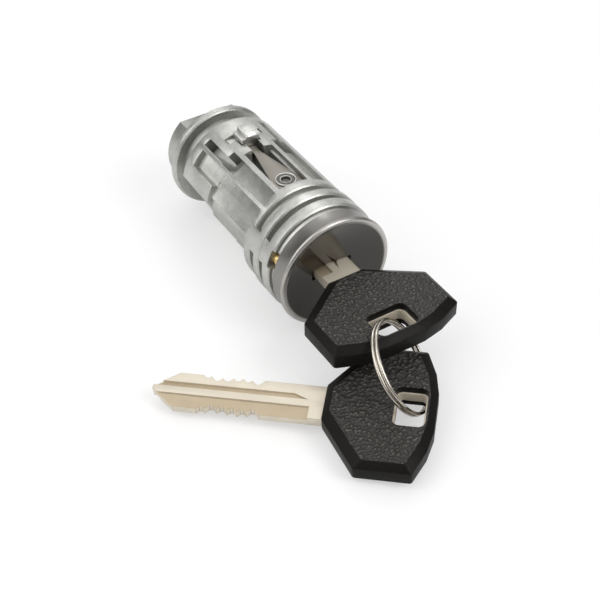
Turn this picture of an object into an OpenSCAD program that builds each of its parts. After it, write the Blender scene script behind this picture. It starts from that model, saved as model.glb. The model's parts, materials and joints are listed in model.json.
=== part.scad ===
// Ignition lock cylinder, with its key in the lock and a spare key on the split ring.
// The lock lies on its side: its axis is Y, the face looks to -Y and the retaining tab is on top.
// The origin is on the lock's axis, halfway along the front guide land.

/* [Housing] */
// Radius of the slotted barrel
barrel_r = 13.6; // [13.2:0.1:14.6]
// Height of the two guide lands over the barrel
land_step = 0.4; // [0.2:0.1:0.8]
// Radius of the bore that carries the plug
bore_r = 8.55; // [8.2:0.05:8.8]
// Length of the neck between the face cap and the front land
neck_len = 1; // [0.6:0.1:1.6]
// Depth of that neck under the lands
neck_depth = 1; // [0.6:0.1:1.6]
// Length of the front guide land
front_land_len = 3.1; // [2.4:0.1:4]
// Length of the groove between the lands
front_groove_len = 1.4; // [1:0.1:2]
// Length of the rear guide land
rear_land_len = 2.5; // [1.8:0.1:3.2]
// Length of the groove between the rear land and the barrel
rear_groove_len = 2.2; // [1.4:0.1:3]
// Depth of both grooves under the lands
groove_depth = 1.9; // [1.2:0.1:2.4]
// Length of the slotted barrel
barrel_len = 31.9; // [31:0.1:36]
// Chamfer on the turned edges
edge = 0.35; // [0.1:0.05:0.5]

/* [Slots] */
// Angle from the top to the outer wall of each long slot, in degrees
slot_outer_angle = 37.5; // [36:0.5:40]
// Width of each slot beside the tab
slot_rear_w = 2; // [1.6:0.1:2.4]
// Width of each slot beside the leaf spring
slot_front_w = 3.9; // [3.2:0.1:4.1]
// Depth of the shallow front length of each slot
slot_shallow = 1.1; // [0.8:0.1:2.4]
// Wall left round the bore under the deep rear length of each slot
slot_wall = 1.15; // [0.85:0.05:1.6]
// Width of the rail outside each slot, in degrees
rail_angle = 4; // [3:0.5:6]
// Depth of the recessed flanks under the barrel's surface
flank_depth = 1.7; // [0.8:0.1:2.4]
// Distance of the left ledge's edge inside the barrel's surface
ledge_in = 1.3; // [1:0.1:1.6]
// Length of the left ledge
ledge_len = 17.6; // [16:0.1:18.5]
// Height of the left ledge's edge above the axis
ledge_z = 3.6; // [3:0.1:4]
// Depth of the flat behind the ledge under the barrel's surface
flat_in = 3; // [2:0.1:3.2]

/* [Retaining tab] */
// Width of the tab
tab_w = 4.7; // [4:0.1:5.2]
// Length of the tab along the lock
tab_len = 4.4; // [3.8:0.1:4.6]
// Height of the tab's top over the barrel
tab_stand = 2.1; // [1.6:0.1:2.8]
// Width of the low shoulder on the left of the tab
shoulder_w = 1.1; // [0.6:0.1:1.6]
// Drop from the tab's top to that shoulder
shoulder_drop = 1.2; // [0.6:0.1:1.8]
// Distance the tab presses in
tab_travel = 2; // [1.6:0.1:2.2]
// Overall width of the tab's two ears
ear_span = 8.6; // [8:0.1:8.8]
// Gap all round the tab in its window
tab_gap = 0.25; // [0.15:0.05:0.4]
// Thickness of the leaf spring
leaf_t = 0.5; // [0.3:0.05:0.7]
// Depth under the barrel's top of the seat that the leaf spring is riveted to
leaf_depth = 2; // [1.6:0.1:2.3]
// Width of the leaf spring's riveted end
leaf_wide = 6.8; // [6:0.1:7.2]
// Width of the leaf spring's tip
leaf_tip_w = 1.9; // [1.4:0.1:2.4]
// Radius of the eyelet rivet's flange
rivet_flange_r = 2.5; // [2.1:0.1:2.9]
// Radius of the eyelet rivet's shank
rivet_shank_r = 1.4; // [1.2:0.05:1.6]
// Radius of the hole down the eyelet rivet
rivet_hole_r = 1; // [0.7:0.05:1.1]

/* [Face cap and plug] */
// Overhang of the face cap outside the lands
cap_lip = 0.1; // [0:0.05:0.5]
// Length of the face cap
cap_len = 4.8; // [4.4:0.1:5.6]
// Wall of the face cap round the plug's head
cap_wall = 0.9; // [0.7:0.1:1.2]
// Width of the bright rim round the dish
rim_w = 0.8; // [0.5:0.1:1.4]
// Depth of the concave face
dish_depth = 2.3; // [1.8:0.1:2.6]
// Metal left behind the middle of the dish
dish_t = 0.6; // [0.4:0.1:0.8]
// Gap between the cap and the housing
cap_gap = 0.3; // [0.2:0.05:0.5]
// Radial clearance of the plug in its bore
plug_gap = 0.05; // [0.02:0.01:0.1]
// Side of the square drive end of the plug
drive_side = 9; // [8:0.1:10]
// Length of the square drive end
drive_len = 5; // [4:0.1:5.5]

/* [Drive coupler] */
// Radius of the coupler's hub
hub_r = 10.6; // [9.8:0.1:11.4]
// Length of the coupler's hub
hub_len = 4.3; // [3.8:0.1:5.2]
// Distance of the coupler's disc inside the barrel's surface
disc_in = 0.35; // [0:0.05:0.8]
// Thickness of the coupler's disc
disc_t = 2.2; // [1.8:0.1:2.8]
// Radius of the drive tang's rounded ends
tang_r = 11.2; // [10.4:0.1:11.6]
// Width of the drive tang across its flats
tang_flats = 17.2; // [14:0.1:18]
// Length of the drive tang
tang_len = 6; // [5:0.1:8]
// Radius of the cross pin that holds the coupler
cross_pin_r = 1.2; // [0.9:0.1:1.4]

/* [Detent plunger] */
// Radius of the brass plunger
plunger_r = 1.4; // [1.1:0.05:1.6]
// Length of the brass plunger
plunger_len = 6.3; // [5.6:0.1:6.6]
// Distance the plunger presses in
plunger_travel = 1; // [0.6:0.1:1.2]
// Distance of the plunger's middle inside the barrel's surface
plunger_in = 2; // [1.8:0.1:2.2]
// Place of the plunger round the lock, in degrees from +X over the top
plunger_angle = 159; // [157:1:161]

/* [Wafers] */
// Number of wafers
wafer_n = 6; // [6:1:6]
// Distance between wafers
wafer_pitch = 2.2; // [2:0.05:2.4]
// Thickness of a wafer
wafer_t = 1; // [0.8:0.05:1.1]
// Height of a wafer
wafer_h = 6; // [5.4:0.1:6.4]
// Clearance round a wafer in its slot
wafer_gap = 0.06; // [0.03:0.01:0.1]

/* [Keys] */
// Width of the key blade
blade_w = 8.6; // [8:0.1:9]
// Thickness of the key blade
blade_t = 2.3; // [2:0.1:2.6]
// Length of the blade in front of the head
blade_len = 37; // [36:0.5:39]
// Length of the pointed tip
blade_tip = 5.2; // [4.2:0.1:6]
// Clearance round the blade in the keyway
keyway_gap = 0.2; // [0.1:0.05:0.3]
// Distance from the tip to the first cut
first_cut = 11.2; // [10:0.1:12]
// Half width of the head where the blade enters it
head_neck = 5; // [4.8:0.1:5.6]
// Half width of the head
head_half_w = 15.7; // [15:0.1:17]
// Distance from the head's start to its full width
head_shoulder = 8.5; // [7:0.1:10]
// Distance from the head's start to its rear corners
head_corner = 20.2; // [19.6:0.1:22]
// Length of the head along its middle
head_len = 23.6; // [23.2:0.1:26]
// Thickness of the head
head_t = 5.8; // [5.4:0.1:7]
// Thickness of the upright band round the head
head_band = 3.2; // [2.4:0.1:3.6]
// Distance that the head's faces are set in from its band
head_bevel = 1.5; // [1.2:0.1:2]
// Distance from the head's start to the middle of its ring hole
hole_at = 17.9; // [17.6:0.1:18.2]
// Length of the ring hole through the head
hole_len = 6.8; // [6.6:0.1:7]
// Width of the ring hole through the head
hole_w = 9.8; // [9:0.1:10.4]
// Metal that shows round the inside of the ring hole
hole_lip = 0.4; // [0.3:0.05:0.6]
// Distance that the key's head stands in front of the cap's rim
key_stand = 3.6; // [3:0.1:5]

/* [Ring] */
// Mean radius of the split ring
ring_r = 10.5; // [10.4:0.05:10.6]
// Wire diameter of the split ring
ring_wire = 0.9; // [0.8:0.05:1]

/* [Hidden] */
$fn = 96;

// Radii and heights that follow the barrel and the bore
land_r = barrel_r + land_step;
cap_r = land_r + cap_lip;
neck_r = land_r - neck_depth;
groove_r = land_r - groove_depth;
slot_shallow_r = barrel_r - slot_shallow;
slot_deep_r = bore_r + slot_wall;
flank_r = barrel_r - flank_depth;
ledge_x = barrel_r - ledge_in;
rear_flat = barrel_r - flat_in;
tab_top = barrel_r + tab_stand;
leaf_seat_z = barrel_r - leaf_depth;
disc_r = barrel_r - disc_in;
plunger_orbit = barrel_r - plunger_in;

// Distances along the lock, measured back from the cap's rim
neck_d = cap_len + cap_gap;
front_land_d = neck_d + neck_len;
front_groove_d = front_land_d + front_land_len;
rear_land_d = front_groove_d + front_groove_len;
rear_groove_d = rear_land_d + rear_land_len;
barrel_d = rear_groove_d + rear_groove_len;
barrel_end_d = barrel_d + barrel_len;
hub_d = barrel_end_d + cap_gap;
disc_d = hub_d + hub_len;
tang_d = disc_d + disc_t;
tang_end_d = tang_d + tang_len;
head_front_d = dish_depth + dish_t;
origin_d = front_land_d + front_land_len / 2;
over = 5;

// Places along the barrel of the tab, the leaf spring and the slots
slot_end_d = barrel_end_d - 2.5;
slot_start_d = barrel_d + 2.3;
flank_start_d = barrel_d + 1.9;
flank_end_d = barrel_end_d - 3.2;
low_flank_end_d = barrel_end_d - 7.2;
tab_end_d = barrel_end_d - 6;
tab_start_d = tab_end_d - tab_len;
window_start_d = tab_start_d - tab_gap;
window_end_d = tab_end_d + tab_gap;
ear_len = 1.7;
ear_t = 1.4;
slot_step_d = window_start_d - 0.4;
slot_deep_d = slot_step_d - 4.3;
pocket_start_d = slot_start_d + 0.2;
boss_len = 3;
pocket_end_d = window_start_d - boss_len;
leaf_start_d = pocket_start_d + 0.2;
rivet_d = leaf_start_d + 3.2;
pocket_deep_d = rivet_d + 3.8;
pocket_w = leaf_wide + 0.6;
tip_bite = 0.8;
tip_gap = 0.15;
tip_room = 0.7;
notch_depth = 1.9;
undercut = 2;
tab_bottom = bore_r + tab_travel + 0.4;
pocket_floor = slot_deep_r + 0.1;
ledge_end_d = flank_start_d + ledge_len;

// The plug and what it holds
plug_r = bore_r - plug_gap;
plug_head_r = cap_r - cap_wall - 0.04;
drive_gap = 0.05;
tip_d = blade_len - key_stand;
keyway_end_d = tip_d + 1;
dish_rim_r = cap_r - rim_w - 0.4;
dish_curve_r = (dish_rim_r * dish_rim_r + dish_depth * dish_depth) / (2 * dish_depth);
ear_in = 0.9;
spring_len = 4.2;
spring_wire = 0.2;
plunger_tip_d = cap_len + 0.1;
plunger_end_d = plunger_tip_d + plunger_len;
plunger_bore_d = plunger_end_d + plunger_travel + 1.7;
notch_end_d = front_land_d + 0.9;

// The keys
cut_depths = [0.6, 1.2, 1.1, 0.8, 0.8, 1.2];
cut_flat = 0.7;
cut_rise = 2;
tail_half_w = hole_w / 2 + 1.2;
tail_start = 3;
tail_end = head_len - 1.6;
bow_rise = head_len - head_corner;
bow_r = (head_half_w * head_half_w + bow_rise * bow_rise) / (2 * bow_rise);

// The spare key lies half on the ring, which leans through both heads
spare_yaw = -41.99;
spare_pitch = 2.08;
spare_roll = 6.46;
spare_hole = [-5.742, -37.104, -8.967];
ring_middle = [-2, -28.41, -4.31];
ring_lean = 55.04;
ring_turn = -38.85;

function at(d) = d - origin_d;
function polar(r, a) = [r * cos(a), 0, r * sin(a)];
function slot_mid(w) = slot_outer_angle - asin(w / 2 / barrel_r);
function wafer_d(i) = tip_d - first_cut - i * wafer_pitch;
function bow(v) = head_len - bow_r + sqrt(bow_r * bow_r - v * v);

// A turned shape: points are [radius, distance behind the cap's rim]
module turned(points) {
    rotate([-90, 0, 0]) rotate_extrude() polygon([for (p = points) [p[0], at(p[1])]]);
}

// A round bar along the lock's axis
module bar(r, d0, d1) {
    translate([0, at(d0), 0]) rotate([-90, 0, 0]) cylinder(r = r, h = d1 - d0);
}

// A block from d0 to d1 along the lock and z0 to z1 in height, centred across
module slab(w, d0, d1, z0, z1) {
    translate([-w / 2, at(d0), z0]) cube([w, d1 - d0, z1 - z0]);
}

// Part of a ring between two angles, counted from +X over the top
module sector(r0, r1, d0, d1, a0, a1) {
    rotate([-90, 0, 0]) rotate([0, 0, -a1]) rotate_extrude(angle = a1 - a0)
        translate([r0, at(d0)]) square([r1 - r0, d1 - d0]);
}

// A coil spring along +X from the origin, with wire of 5 sides
module coil(mean_r, wire, length, turns) {
    sides = 5;
    steps = 10;
    count = turns * steps;
    rise = length - wire;
    rings = [for (i = [0 : count]) let (a = 360 * i / steps, x = wire / 2 + rise * i / count)
        [for (k = [0 : sides - 1]) let (b = 360 * k / sides, r = mean_r + wire / 2 * cos(b))
            [x + wire / 2 * sin(b), r * cos(a), r * sin(a)]]];
    polyhedron(
        points = [for (ring = rings) each ring],
        faces = concat(
            [[for (k = [sides - 1 : -1 : 0]) k]],
            [for (i = [0 : count - 1], k = [0 : sides - 1]) let (j = (k + 1) % sides)
                each [[i * sides + k, i * sides + j, (i + 1) * sides + k],
                    [i * sides + j, (i + 1) * sides + j, (i + 1) * sides + k]]],
            [[for (k = [0 : sides - 1]) count * sides + k]]));
}

// Housing: one zinc casting, turned at the front and slotted behind
module housing_turning() {
    turned([[0, neck_d], [neck_r, neck_d], [neck_r, front_land_d],
        [land_r - edge, front_land_d], [land_r, front_land_d + edge],
        [land_r, front_groove_d - edge], [land_r - edge, front_groove_d],
        [groove_r, front_groove_d], [groove_r, rear_land_d],
        [land_r - edge, rear_land_d], [land_r, rear_land_d + edge],
        [land_r, rear_groove_d - edge], [land_r - edge, rear_groove_d],
        [groove_r, rear_groove_d], [groove_r, barrel_d],
        [barrel_r - edge, barrel_d], [barrel_r, barrel_d + edge],
        [barrel_r, barrel_end_d - edge], [barrel_r - edge, barrel_end_d], [0, barrel_end_d]]);
}

// A shape in the cross-section, points [x, z], from d0 to d1 along the lock
module section(points, d0, d1) {
    translate([0, at(d1), 0]) rotate([90, 0, 0]) linear_extrude(d1 - d0) polygon(points);
}

module flank_cuts() {
    rail_edge = 90 + slot_outer_angle + rail_angle;
    far = land_r + over;
    sector(flank_r, far, flank_start_d, flank_end_d, rail_edge, 151);
    section([[-flank_r * 0.8, flank_r * 0.56], [-ledge_x, ledge_z], [-ledge_x, -1.4], [-6.5, -11.5],
        [-8, -far], [-far, -far], [-far, far * 0.6]], flank_start_d + 0.3, ledge_end_d);
    rotate([0, 90 - 208, 0]) slab(2 * far, ledge_end_d - 0.5, barrel_end_d + 1, rear_flat, far);
    sector(flank_r, far, flank_start_d, low_flank_end_d, -35, 15);
    sector(groove_r - undercut, far, front_groove_d + 0.1, rear_land_d - 0.1, 176, 212);
    sector(groove_r - undercut, far, rear_groove_d + 0.1, barrel_d - 0.1, 176, 212);
}

module slot_cuts() {
    for (side = [-1, 1]) {
        rotate([0, side * slot_mid(slot_front_w), 0]) {
            slab(slot_front_w, slot_start_d, slot_deep_d, slot_shallow_r, land_r + over);
            slab(slot_front_w, slot_deep_d, slot_step_d, slot_deep_r, land_r + over);
        }
        rotate([0, side * (slot_mid(slot_rear_w) - 0.6), 0])
            slab(slot_rear_w, slot_step_d - 0.1, slot_end_d, slot_deep_r, land_r + over);
    }
}

module tab_window() {
    ear_floor = tab_bottom + 0.4 - tab_travel - 0.2;
    slab(tab_w + 2 * tab_gap, window_start_d, window_end_d, bore_r - over, land_r + over);
    slab(ear_span + 2 * tab_gap, window_end_d - ear_len - 2 * tab_gap, window_end_d,
        ear_floor, land_r + over);
}

module leaf_pocket() {
    slab(pocket_w, pocket_start_d, pocket_end_d, leaf_seat_z, land_r + over);
    slab(pocket_w - 1.2, pocket_deep_d, pocket_end_d, pocket_floor, leaf_seat_z + 0.1);
    slab(leaf_tip_w + 2 * tip_room, pocket_end_d - 0.1, window_start_d + 0.1, pocket_floor, land_r + over);
    translate([0, at(rivet_d), slot_deep_r - 0.1]) cylinder(r = rivet_shank_r, h = over);
}

module plunger_seat() {
    translate(polar(plunger_orbit, plunger_angle)) bar(plunger_r + plug_gap, neck_d, plunger_bore_d);
    sector(plunger_orbit - notch_depth, land_r + over, neck_d - 1, notch_end_d,
        plunger_angle - 9, plunger_angle + 9);
}

module housing() {
    color("silver") difference() {
        union() {
            difference() {
                housing_turning();
                flank_cuts();
            }
            sector(groove_r - 1, land_r - 0.2, front_groove_d - 0.8, barrel_d + 0.8, 147, 170);
        }
        bar(bore_r, 0, barrel_end_d + over);
        slot_cuts();
        leaf_pocket();
        tab_window();
        plunger_seat();
        for (side = [0, 180]) rotate([0, side, 0])
            translate([bore_r - 1, at(wafer_d(wafer_n)), -wafer_h / 2 - 0.3])
                cube([2, (wafer_n + 1) * wafer_pitch, wafer_h + 0.6]);
    }
}

// Retaining tab: a cross-shaped slider with a bevelled nose and a slot for the leaf's tip
module retaining_tab() {
    nose = 0.9;
    color("gainsboro") difference() {
        union() {
            slab(tab_w, tab_start_d, tab_end_d, tab_bottom, tab_top);
            slab(ear_span, tab_end_d - ear_len, tab_end_d, tab_bottom + 0.4, tab_bottom + 0.4 + ear_t);
        }
        translate([0, at(tab_start_d), tab_top - nose]) rotate([45, 0, 0])
            translate([-tab_w, 0, 0]) cube([2 * tab_w, 2 * nose, 2 * nose]);
        translate([-tab_w, at(tab_start_d) - over, tab_top - shoulder_drop])
            cube([tab_w / 2 + shoulder_w, tab_len + 2 * over, over]);
        slab(leaf_tip_w + 2 * tip_gap, tab_start_d - 1, tab_start_d + tip_bite + tip_gap,
            leaf_seat_z - tip_gap, leaf_seat_z + leaf_t + tip_gap);
    }
}

// Leaf spring: a tapered strip, riveted at its wide end
module leaf_spring() {
    corner = 0.8;
    color("tan") translate([0, 0, leaf_seat_z]) difference() {
        linear_extrude(leaf_t) polygon([
            [-leaf_wide / 2 + corner, at(leaf_start_d)], [leaf_wide / 2 - corner, at(leaf_start_d)],
            [leaf_wide / 2, at(leaf_start_d) + corner], [leaf_wide / 2, at(rivet_d)],
            [leaf_tip_w / 2, at(pocket_end_d)], [leaf_tip_w / 2, at(tab_start_d + tip_bite)],
            [-leaf_tip_w / 2, at(tab_start_d + tip_bite)], [-leaf_tip_w / 2, at(pocket_end_d)],
            [-leaf_wide / 2, at(rivet_d)], [-leaf_wide / 2, at(leaf_start_d) + corner]]);
        translate([0, at(rivet_d), -1]) cylinder(r = rivet_shank_r + 0.02, h = 3);
    }
}

module leaf_rivet() {
    top = leaf_seat_z + leaf_t;
    color("lightgray") translate([0, at(rivet_d), 0]) rotate_extrude() polygon([
        [rivet_hole_r, slot_deep_r], [rivet_shank_r - 0.02, slot_deep_r],
        [rivet_shank_r - 0.02, top], [rivet_flange_r, top], [rivet_flange_r, top + 0.25],
        [rivet_flange_r - 0.45, top + 0.65], [rivet_hole_r + 0.55, top + 0.65],
        [rivet_hole_r, top + 0.1]]);
}

// Detent plunger: a brass pin that bears on the back of the plug's head
module detent_plunger() {
    color("goldenrod") translate(polar(plunger_orbit, plunger_angle)) turned([
        [0, plunger_tip_d], [plunger_r * 0.55, plunger_tip_d], [plunger_r, plunger_tip_d + plunger_r * 0.6],
        [plunger_r, plunger_end_d], [0, plunger_end_d]]);
}

module detent_spring() {
    color("gray") translate(polar(plunger_orbit, plunger_angle) + [0, at(plunger_end_d), 0])
        rotate([0, 0, 90]) coil(plunger_r - 0.4, 0.35, plunger_bore_d - plunger_end_d, 4);
}

// Plug: turned bar with a head, cut for the keyway, the wafers and their springs
module wafer_slot(i) {
    half_t = wafer_t / 2 + wafer_gap;
    half_h = wafer_h / 2 + wafer_gap;
    ear_top = wafer_h / 2 + ear_in * 2 + wafer_gap;
    translate([0, at(wafer_d(i)), 0]) rotate([0, 180 * (i % 2), 0]) {
        translate([-bore_r, -half_t, -half_h]) cube([2 * bore_r, 2 * half_t, 2 * half_h]);
        translate([-ear_in - spring_len - 0.1, -half_t, 0])
            cube([spring_len + 2 * ear_in + 0.7, 2 * half_t, ear_top]);
    }
}

module plug() {
    color("darkkhaki") difference() {
        union() {
            bar(plug_head_r, head_front_d, cap_len);
            bar(plug_r, cap_len - 0.1, hub_d);
            translate([0, at(hub_d - 0.1), 0]) rotate([-90, 0, 0])
                translate([-drive_side / 2, -drive_side / 2, 0])
                    cube([drive_side, drive_side, drive_len + 0.1]);
        }
        slab(blade_w + 2 * keyway_gap, 0, keyway_end_d, -blade_t / 2 - keyway_gap, blade_t / 2 + keyway_gap);
        for (i = [0 : wafer_n - 1]) wafer_slot(i);
        cross_hole();
    }
}

// Wafer: a brass plate with a window for the blade and an ear for its spring
module wafer(i) {
    color("gold") translate([0, at(wafer_d(i)), 0]) rotate([90, 0, 0]) rotate([0, 0, 180 * (i % 2)])
        linear_extrude(wafer_t, center = true) difference() {
            union() {
                intersection() {
                    circle(plug_r - 0.1);
                    square([2 * bore_r, wafer_h], center = true);
                }
                translate([-ear_in, 0]) square([2 * ear_in, wafer_h / 2 + 2 * ear_in]);
            }
            square([blade_w + 2 * keyway_gap, blade_t + 2 * keyway_gap], center = true);
        }
}

module wafer_spring(i) {
    color("gray") translate([0, at(wafer_d(i)), 0]) rotate([0, 180 * (i % 2), 0])
        translate([-ear_in - spring_len, 0, wafer_h / 2 + ear_in])
            coil(wafer_t / 2 - spring_wire / 2, spring_wire, spring_len, 5);
}

// Face cap: a plated bezel with a concave face and the key slot
module face_cap() {
    slot_room = 0.8;
    color("slategray") difference() {
        turned([[0, 0], [cap_r - 0.5, 0], [cap_r - 0.1, 0.45], [cap_r, 1.1], [cap_r, cap_len - edge],
            [cap_r - edge, cap_len], [cap_r - cap_wall, cap_len], [cap_r - cap_wall, head_front_d],
            [0, head_front_d]]);
        translate([0, at(dish_depth - dish_curve_r), 0]) sphere(r = dish_curve_r, $fn = 180);
        slab(blade_w + 2 * slot_room, -1, cap_len, -blade_t / 2 - 0.4, blade_t / 2 + 0.4);
    }
}

// Drive coupler: hub, disc and tang in one casting, pinned to the plug's square end
module cross_hole() {
    translate([-land_r, at(hub_d + hub_len / 2), 0]) rotate([0, 90, 0])
        cylinder(r = cross_pin_r, h = 2 * land_r);
}

module drive_coupler() {
    socket = drive_side + 2 * drive_gap;
    bevel = 0.8;
    color("silver") difference() {
        union() {
            turned([[0, hub_d], [hub_r, hub_d], [hub_r, disc_d], [disc_r - 0.5, disc_d], [disc_r, disc_d + 0.6],
                [disc_r, tang_d - 0.6], [disc_r - 0.5, tang_d], [0, tang_d]]);
            intersection() {
                turned([[0, tang_d - 0.1], [tang_r, tang_d - 0.1], [tang_r, tang_end_d - bevel],
                    [tang_r - bevel, tang_end_d], [0, tang_end_d]]);
                slab(2 * land_r, tang_d - 1, tang_end_d + 1, -tang_flats / 2, tang_flats / 2);
            }
        }
        slab(socket, hub_d - 1, hub_d + drive_len + 0.1, -socket / 2, socket / 2);
        for (side = [0, 180]) rotate([0, side, 0]) translate([0, at(tang_end_d), tang_flats / 2 - bevel])
            rotate([45, 0, 0]) translate([-land_r, 0, -bevel]) cube([2 * land_r, 2 * bevel, 4 * bevel]);
        cross_hole();
    }
}

module cross_pin() {
    half = hub_r - 0.3;
    color("dimgray") translate([-half, at(hub_d + hub_len / 2), 0]) rotate([0, 90, 0])
        cylinder(r = cross_pin_r - 0.02, h = 2 * half);
}

// Keys: drawn along +X from the head's start, with the blade to -X and the faces up and down
module key_place() {
    translate([0, at(-key_stand), 0]) rotate([0, 0, -90]) children();
}

module spare_place() {
    translate(spare_hole + [0, at(0), 0]) rotate([spare_roll, -spare_pitch, spare_yaw])
        translate([-hole_at, 0, 0]) children();
}

module rounded_plate(length, width, r, h) {
    linear_extrude(h, center = true) {
        square([length - 2 * r, width], center = true);
        square([length, width - 2 * r], center = true);
        for (x = [-1, 1], y = [-1, 1])
            translate([x * (length / 2 - r), y * (width / 2 - r)]) circle(r, $fn = 32);
    }
}

module blade_solid() {
    point = 0.4;
    groove_t = 0.5;
    groove_w = 1.15;
    rib_w = 1.85;
    step_in = 1.25;
    color("wheat") difference() {
        linear_extrude(blade_t, center = true) difference() {
            polygon([[-blade_len, -point], [-blade_len, point], [-blade_len + blade_tip, blade_w / 2],
                [tail_start, blade_w / 2], [tail_start, tail_half_w], [tail_end, tail_half_w],
                [tail_end, -tail_half_w], [tail_start, -tail_half_w], [tail_start, -blade_w / 2],
                [-blade_len + blade_tip, -blade_w / 2]]);
            for (i = [0 : wafer_n - 1], side = [-1, 1])
                translate([-blade_len + first_cut + i * wafer_pitch, side * blade_w / 2])
                    polygon([[-cut_flat / 2, -side * cut_depths[i]], [cut_flat / 2, -side * cut_depths[i]],
                        [cut_flat / 2 + cut_rise, side * (cut_rise - cut_depths[i])],
                        [-cut_flat / 2 - cut_rise, side * (cut_rise - cut_depths[i])]]);
        }
        for (face = [0, 180]) rotate([face, 0, 0]) translate([0, 0, blade_t / 2 - groove_t]) {
            linear_extrude(1) polygon([[-blade_len - 1, rib_w - step_in], [-3.8, rib_w - step_in],
                [-6.6, rib_w - step_in + groove_w], [-blade_len - 1, rib_w - step_in + groove_w]]);
            translate([-blade_len - 1, -blade_w, 0]) cube([blade_len - 2.1, blade_w - step_in, 1]);
        }
        translate([hole_at, 0, 0])
            rounded_plate(hole_len - 2 * hole_lip, hole_w - 2 * hole_lip, 1.2, 2 * blade_t);
    }
}

module head_solid() {
    round_r = 0.8;
    far = head_half_w * 0.62;
    outline = [[round_r, head_neck - round_r], [head_shoulder, head_half_w - round_r],
        [head_corner - round_r, head_half_w - round_r], [bow(far) - round_r, far],
        [bow(far / 2) - round_r, far / 2]];
    color("#1c1c1c") difference() {
        hull() for (p = outline, side = [-1, 1]) {
            inset = head_bevel * [sign(head_len / 2 - p[0]), 1];
            translate([p[0], side * p[1], 0])
                cylinder(r = round_r, h = head_band, center = true, $fn = 24);
            translate([p[0] + inset[0], side * max(p[1] - inset[1], 0), 0])
                cylinder(r = round_r, h = head_t, center = true, $fn = 24);
        }
        translate([hole_at, 0, 0]) rounded_plate(hole_len, hole_w, 1.5, 2 * head_t);
        translate([-1, -blade_w / 2, -blade_t / 2]) cube([tail_start + 1.5, blade_w, blade_t]);
        translate([tail_start, -tail_half_w, -blade_t / 2])
            cube([tail_end - tail_start, 2 * tail_half_w, blade_t]);
    }
}

module key_blade() {
    key_place() blade_solid();
}

module key_head() {
    key_place() head_solid();
}

module spare_key_blade() {
    spare_place() blade_solid();
}

module spare_key_head() {
    spare_place() head_solid();
}

// Split ring: two turns of wire side by side, with one step between them
module split_ring() {
    sides = 8;
    step = 7.5;
    first = 18;
    last = 702;
    count = floor((last - first) / step);
    rings = [for (i = [0 : count]) let (a = first + (last - first) * i / count,
        across = min(max((a - 345) / 30, 0), 1) - 0.5)
        [for (k = [0 : sides - 1]) let (b = 360 * k / sides, r = ring_r + ring_wire / 2 * cos(b))
            [r * cos(a), r * sin(a), across * (ring_wire + 0.02) + ring_wire / 2 * sin(b)]]];
    color("lightsteelblue") translate(ring_middle + [0, at(0), 0]) rotate([0, ring_lean, ring_turn])
        polyhedron(
            points = [for (ring = rings) each ring],
            faces = concat(
                [[for (k = [sides - 1 : -1 : 0]) k]],
                [for (i = [0 : count - 1], k = [0 : sides - 1]) let (j = (k + 1) % sides)
                    each [[i * sides + k, i * sides + j, (i + 1) * sides + k],
                        [i * sides + j, (i + 1) * sides + j, (i + 1) * sides + k]]],
                [[for (k = [0 : sides - 1]) count * sides + k]]));
}

housing();
retaining_tab();
leaf_spring();
leaf_rivet();
detent_plunger();
detent_spring();
plug();
face_cap();
drive_coupler();
cross_pin();
wafer(0);  // wafer_1
wafer(1);  // wafer_2
wafer(2);  // wafer_3
wafer(3);  // wafer_4
wafer(4);  // wafer_5
wafer(5);  // wafer_6
wafer_spring(0);  // wafer_spring_1
wafer_spring(1);  // wafer_spring_2
wafer_spring(2);  // wafer_spring_3
wafer_spring(3);  // wafer_spring_4
wafer_spring(4);  // wafer_spring_5
wafer_spring(5);  // wafer_spring_6
key_blade();
key_head();
split_ring();
spare_key_blade();
spare_key_head();
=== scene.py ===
import json
import math

import bpy
from mathutils import Matrix, Vector


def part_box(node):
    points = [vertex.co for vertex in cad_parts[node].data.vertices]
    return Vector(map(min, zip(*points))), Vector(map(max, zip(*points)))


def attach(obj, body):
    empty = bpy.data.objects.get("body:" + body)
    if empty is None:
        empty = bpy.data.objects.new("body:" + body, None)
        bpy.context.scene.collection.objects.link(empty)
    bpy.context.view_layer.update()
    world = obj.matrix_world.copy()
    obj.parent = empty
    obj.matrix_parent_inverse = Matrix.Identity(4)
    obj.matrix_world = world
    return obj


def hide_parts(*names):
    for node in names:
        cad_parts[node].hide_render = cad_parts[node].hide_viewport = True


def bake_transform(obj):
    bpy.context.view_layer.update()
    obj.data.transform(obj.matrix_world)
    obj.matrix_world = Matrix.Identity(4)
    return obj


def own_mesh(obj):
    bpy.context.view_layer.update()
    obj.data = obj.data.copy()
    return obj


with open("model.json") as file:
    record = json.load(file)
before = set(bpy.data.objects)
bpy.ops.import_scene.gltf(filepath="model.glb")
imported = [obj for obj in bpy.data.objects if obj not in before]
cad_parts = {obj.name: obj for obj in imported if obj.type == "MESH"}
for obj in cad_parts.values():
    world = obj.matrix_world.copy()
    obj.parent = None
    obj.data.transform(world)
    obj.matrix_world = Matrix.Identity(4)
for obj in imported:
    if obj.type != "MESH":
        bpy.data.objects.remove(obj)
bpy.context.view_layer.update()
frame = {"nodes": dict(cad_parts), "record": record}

bl_info = {
    "name": "Ignition Lock Cylinder",
    "version": (1, 0, 0),
    "blender": (4, 5, 0),
    "location": "3D View > Sidebar > Lock",
    "description": "Dresses a lock cylinder, its key, its spare key and their split ring",
    "category": "Object",
}

CAP_LOW, CAP_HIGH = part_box("face_cap")
BODY_OF = {part: body for body, parts in frame["record"]["behaviour"]["bodies"].items() for part in parts}
FLOOR_Z = CAP_LOW.z

# Fineness of the meshes that are made here
MERGE_DISTANCE = 2e-6
FLAT_ANGLE = math.radians(0.5)
SHARP_ANGLE = math.radians(30)
CAP_SEGMENTS = 144
WALL_STEPS = 8
RIM_STEPS = 8
DISH_STEPS = 36
EYELET_SEGMENTS = 64
LEAF_BANDS = 24

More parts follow.
